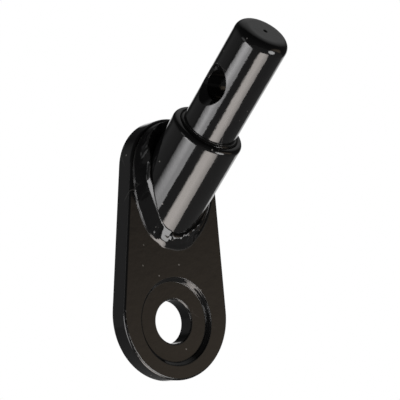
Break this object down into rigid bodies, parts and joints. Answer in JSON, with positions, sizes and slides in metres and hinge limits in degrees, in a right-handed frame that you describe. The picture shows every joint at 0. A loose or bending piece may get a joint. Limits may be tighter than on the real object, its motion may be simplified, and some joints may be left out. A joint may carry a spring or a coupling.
{
  "type": "bike trailer hitch",
  "caption": "Axle-mounted bike trailer hitch: a flat plate with an axle hole and a slanted hitch pin in a welded sleeve.",
  "frame": {"origin": "centre of the axle hole at the plate's back face, which seats against the bicycle frame", "axes": "+Y out of the plate's back, along the axle; +Z along the plate from the axle hole to the sleeve; the pin leans towards -Y, 42 degrees up from the plate's normal"},
  "size_m": [0.0364, 0.0517, 0.0959],
  "materials": {
    "mounting_plate": "gloss black powder coat",
    "sleeve": "gloss black powder coat",
    "hitch_pin": "gloss black powder coat",
    "base_weld": "gloss black powder coat"
  },
  "bodies": {
    "root": {"mounting_plate": "mounting_plate", "sleeve": "sleeve", "hitch_pin": "hitch_pin", "base_weld": "base_weld"}
  },
  "joints": []
}
